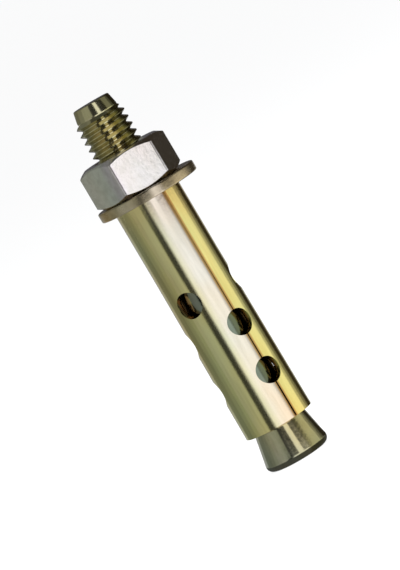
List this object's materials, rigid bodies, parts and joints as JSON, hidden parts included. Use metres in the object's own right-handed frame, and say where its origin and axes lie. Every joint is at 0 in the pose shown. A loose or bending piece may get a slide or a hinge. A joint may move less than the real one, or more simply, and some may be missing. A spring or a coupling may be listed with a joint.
{
  "type": "sleeve anchor",
  "caption": "Steel sleeve anchor: threaded stud with an expander cone, split sleeve with punched holes, flat washer and hexagon nut.",
  "frame": {"origin": "centre of the cone's flat end, which the anchor stands on", "axes": "+Z along the stud, from the cone's flat end to the threaded tip; +X to the right and -Y towards the viewer of the picture's front"},
  "size_m": [0.0203, 0.0202, 0.0769],
  "materials": {
    "stud_zinc": "olive-yellow passivated zinc on steel, semi-gloss",
    "sleeve_zinc": "pale yellow passivated zinc on rolled sheet, gloss with soft streaks",
    "washer_zinc": "tan-gold passivated zinc, semi-gloss",
    "nut_zinc": "silver-grey zinc, satin"
  },
  "bodies": {
    "sleeve": {"sleeve": "sleeve_zinc", "washer": "washer_zinc"},
    "nut": {"nut": "nut_zinc"},
    "stud": {"stud": "stud_zinc"}
  },
  "joints": [
    {"name": "stud_draw", "type": "slide", "parent": "sleeve", "child": "stud", "axis": [0, 0, 1], "range_m": [-0.015, 0]},
    {"name": "nut_turn", "type": "hinge", "parent": "sleeve", "child": "nut", "pos_m": [0, 0, 0.0582], "axis": [0, 0, 1], "range_deg": [0, 3600]}
  ],
  "couplings": [
    {"joint": "nut_turn", "follows": "stud_draw", "rad_per_m": -4188.8}
  ]
}
